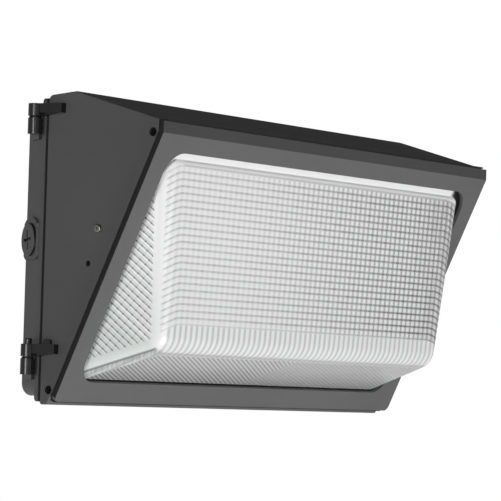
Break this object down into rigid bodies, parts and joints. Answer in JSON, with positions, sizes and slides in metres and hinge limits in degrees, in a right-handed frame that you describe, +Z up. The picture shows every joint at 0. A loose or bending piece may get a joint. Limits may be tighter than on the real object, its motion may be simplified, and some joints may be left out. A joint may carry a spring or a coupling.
{
  "type": "wall pack light",
  "caption": "Outdoor wall pack light: shallow cast back pan with a wedge-shaped door on side hinges, a slanted lens frame and a deep prismatic glass refractor.",
  "frame": {"origin": "on the wall, behind the middle of the back pan, midway between the four fixing holes", "axes": "+X to the right seen from the front, +Y into the wall, +Z up"},
  "size_m": [0.4849, 0.1393, 0.2337],
  "materials": {
    "bronze_cast": "fine-textured powder coat over a casting",
    "hinge_black": "gloss black",
    "gasket_black": "matt",
    "prismatic_glass": "pressed with prisms and flutes",
    "white_sheet": "satin white",
    "zinc_steel": "bright zinc plate",
    "dark_steel": "black oxide",
    "board_white": "white solder mask",
    "emitter_yellow": "clear gel over phosphor",
    "pad_grey": "matt",
    "driver_case": "satin",
    "surge_case": "matt",
    "terminal_white": "matt",
    "ground_green": "green passivated",
    "wire_black": "satin",
    "wire_white": "satin",
    "wire_green": "satin",
    "wire_red": "satin",
    "wire_blue": "satin"
  },
  "bodies": {
    "wall_unit": {"board_connector": "board_white", "board_screws": "zinc_steel", "conduit_plug_left": "bronze_cast", "conduit_plug_right": "bronze_cast", "door_gasket": "gasket_black", "driver": "driver_case", "driver_screws": "zinc_steel", "ground_screw": "ground_green", "hinge_base_lower": "hinge_black", "hinge_base_upper": "hinge_black", "hinge_pin_lower": "hinge_black", "hinge_pin_upper": "hinge_black", "hinge_washers": "zinc_steel", "led_board": "board_white", "led_emitters": "emitter_yellow", "led_tray": "white_sheet", "rear_housing": "bronze_cast", "surge_leads": "wire_black", "surge_protector": "surge_case", "terminal_block": "terminal_white", "terminal_screws": "zinc_steel", "thermal_pad": "pad_grey", "tray_grommet": "gasket_black", "tray_posts": "zinc_steel", "tray_screws": "zinc_steel", "wire_ground": "wire_green", "wire_led_minus": "wire_blue", "wire_led_plus": "wire_red", "wire_line": "wire_black", "wire_neutral": "wire_white"},
    "door": {"door_housing": "bronze_cast", "lens_frame": "bronze_cast", "frame_gasket": "gasket_black", "brow_seal": "gasket_black", "frame_screws": "dark_steel", "glass_refractor": "prismatic_glass", "lens_gasket": "gasket_black", "lens_clips": "zinc_steel", "clip_screws": "zinc_steel", "reflector": "white_sheet", "reflector_screws": "zinc_steel", "hinge_arm_upper": "hinge_black", "hinge_arm_lower": "hinge_black"},
    "latch_carrier_upper": {"latch_washer_upper": "zinc_steel"},
    "latch_upper": {"latch_screw_upper": "dark_steel"},
    "latch_carrier_lower": {"latch_washer_lower": "zinc_steel"},
    "latch_lower": {"latch_screw_lower": "dark_steel"}
  },
  "joints": [
    {"name": "door_swing", "type": "hinge", "parent": "wall_unit", "child": "door", "pos_m": [-0.2345, -0.0205, 0], "axis": [0, 0, -1], "range_deg": [0, 90]},
    {"name": "latch_upper_travel", "type": "slide", "parent": "door", "child": "latch_carrier_upper", "axis": [0, -1, 0], "range_m": [0, 0.009]},
    {"name": "latch_upper_turn", "type": "hinge", "parent": "latch_carrier_upper", "child": "latch_upper", "pos_m": [0.2375, -0.0371, 0.062], "axis": [0, -1, 0], "range_deg": [0, 4050]},
    {"name": "latch_lower_travel", "type": "slide", "parent": "door", "child": "latch_carrier_lower", "axis": [0, -1, 0], "range_m": [0, 0.009]},
    {"name": "latch_lower_turn", "type": "hinge", "parent": "latch_carrier_lower", "child": "latch_lower", "pos_m": [0.2375, -0.0371, -0.062], "axis": [0, -1, 0], "range_deg": [0, 4050]}
  ],
  "couplings": [
    {"joint": "latch_upper_turn", "follows": "latch_upper_travel", "rad_per_m": 7854},
    {"joint": "latch_lower_turn", "follows": "latch_lower_travel", "rad_per_m": 7854}
  ]
}
